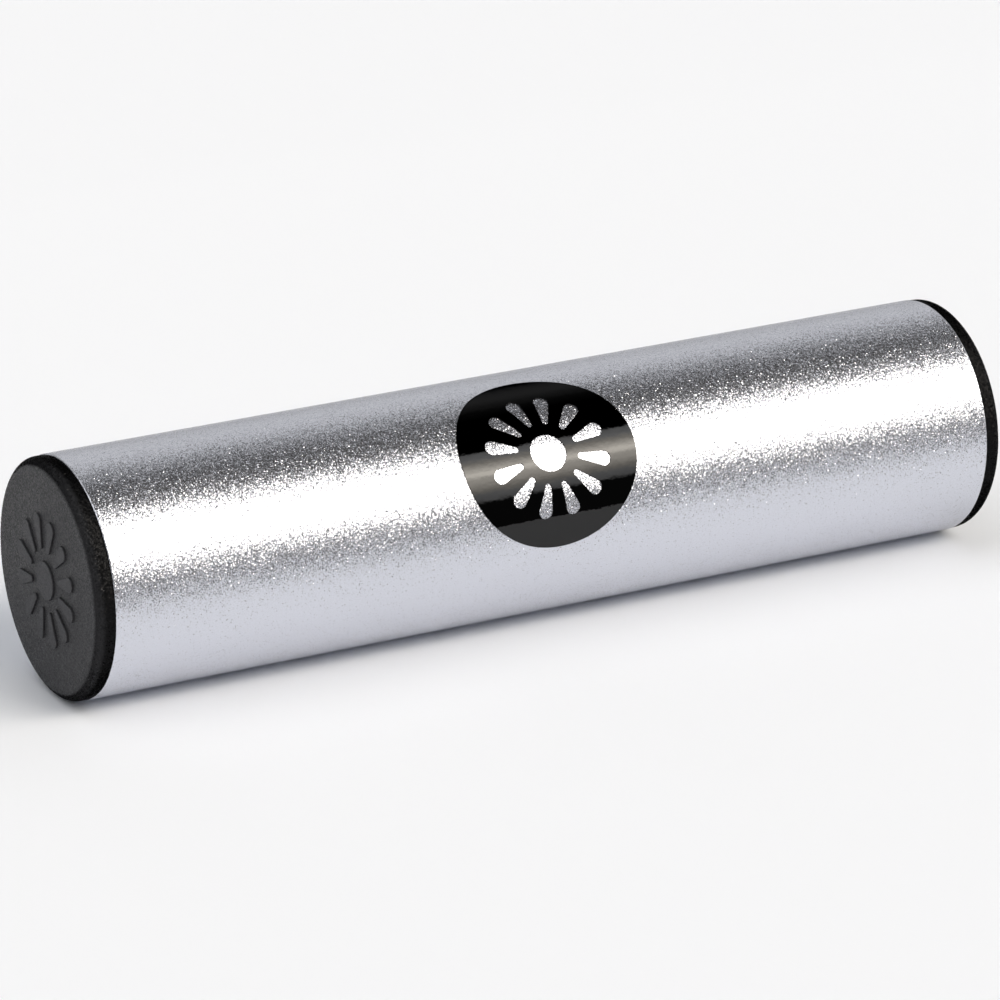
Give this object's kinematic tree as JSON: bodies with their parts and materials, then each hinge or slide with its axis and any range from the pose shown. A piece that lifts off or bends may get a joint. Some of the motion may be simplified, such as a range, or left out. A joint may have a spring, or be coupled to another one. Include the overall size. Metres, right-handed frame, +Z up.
{
  "type": "tube shaker",
  "caption": "Hand-held tube shaker: a straight metal tube closed by pressed-in plastic caps, with loose steel shot that flies from end to end.",
  "frame": {"origin": "on the surface that the shaker lies on, under the middle of the tube", "axes": "+X along the tube towards the right end cap, +Z up, -Y to the front, where the round label is"},
  "size_m": [0.2104, 0.0502, 0.0502],
  "materials": {
    "tube_metal": "silver, fine sparkle grain, satin",
    "cap_plastic": "black, fine moulded grain",
    "label_film": "black, high gloss",
    "shot_steel": "smooth rolled steel"
  },
  "bodies": {
    "shaker": {"tube": "tube_metal", "left_end_cap": "cap_plastic", "right_end_cap": "cap_plastic", "round_label": "label_film"},
    "shot_row1": {"shot_row1_ball1": "shot_steel", "shot_row1_ball2": "shot_steel", "shot_row1_ball3": "shot_steel", "shot_row1_ball4": "shot_steel", "shot_row1_ball5": "shot_steel", "shot_row1_ball6": "shot_steel", "shot_row1_ball7": "shot_steel", "shot_row1_ball8": "shot_steel"},
    "shot_row2": {"shot_row2_ball1": "shot_steel", "shot_row2_ball2": "shot_steel", "shot_row2_ball3": "shot_steel", "shot_row2_ball4": "shot_steel", "shot_row2_ball5": "shot_steel", "shot_row2_ball6": "shot_steel", "shot_row2_ball7": "shot_steel", "shot_row2_ball8": "shot_steel"},
    "shot_row3": {"shot_row3_ball1": "shot_steel", "shot_row3_ball2": "shot_steel", "shot_row3_ball3": "shot_steel", "shot_row3_ball4": "shot_steel", "shot_row3_ball5": "shot_steel", "shot_row3_ball6": "shot_steel", "shot_row3_ball7": "shot_steel", "shot_row3_ball8": "shot_steel"},
    "shot_row4": {"shot_row4_ball1": "shot_steel", "shot_row4_ball2": "shot_steel", "shot_row4_ball3": "shot_steel", "shot_row4_ball4": "shot_steel", "shot_row4_ball5": "shot_steel", "shot_row4_ball6": "shot_steel", "shot_row4_ball7": "shot_steel", "shot_row4_ball8": "shot_steel"},
    "shot_row5": {"shot_row5_ball1": "shot_steel", "shot_row5_ball2": "shot_steel", "shot_row5_ball3": "shot_steel", "shot_row5_ball4": "shot_steel", "shot_row5_ball5": "shot_steel", "shot_row5_ball6": "shot_steel", "shot_row5_ball7": "shot_steel", "shot_row5_ball8": "shot_steel"},
    "shot_row6": {"shot_row6_ball1": "shot_steel", "shot_row6_ball2": "shot_steel", "shot_row6_ball3": "shot_steel", "shot_row6_ball4": "shot_steel", "shot_row6_ball5": "shot_steel", "shot_row6_ball6": "shot_steel", "shot_row6_ball7": "shot_steel", "shot_row6_ball8": "shot_steel"},
    "shot_row7": {"shot_row7_ball1": "shot_steel", "shot_row7_ball2": "shot_steel", "shot_row7_ball3": "shot_steel", "shot_row7_ball4": "shot_steel", "shot_row7_ball5": "shot_steel", "shot_row7_ball6": "shot_steel", "shot_row7_ball7": "shot_steel", "shot_row7_ball8": "shot_steel"}
  },
  "joints": [
    {"name": "shot_row1_slide", "type": "slide", "parent": "shaker", "child": "shot_row1", "axis": [1, 0, 0], "range_m": [-0.0664, 0.0688]},
    {"name": "shot_row2_slide", "type": "slide", "parent": "shaker", "child": "shot_row2", "axis": [1, 0, 0], "range_m": [-0.0688, 0.0664]},
    {"name": "shot_row3_slide", "type": "slide", "parent": "shaker", "child": "shot_row3", "axis": [1, 0, 0], "range_m": [-0.0664, 0.0688]},
    {"name": "shot_row4_slide", "type": "slide", "parent": "shaker", "child": "shot_row4", "axis": [1, 0, 0], "range_m": [-0.0688, 0.0664]},
    {"name": "shot_row5_slide", "type": "slide", "parent": "shaker", "child": "shot_row5", "axis": [1, 0, 0], "range_m": [-0.0664, 0.0688]},
    {"name": "shot_row6_slide", "type": "slide", "parent": "shaker", "child": "shot_row6", "axis": [1, 0, 0], "range_m": [-0.0688, 0.0664]},
    {"name": "shot_row7_slide", "type": "slide", "parent": "shaker", "child": "shot_row7", "axis": [1, 0, 0], "range_m": [-0.0664, 0.0688]}
  ]
}
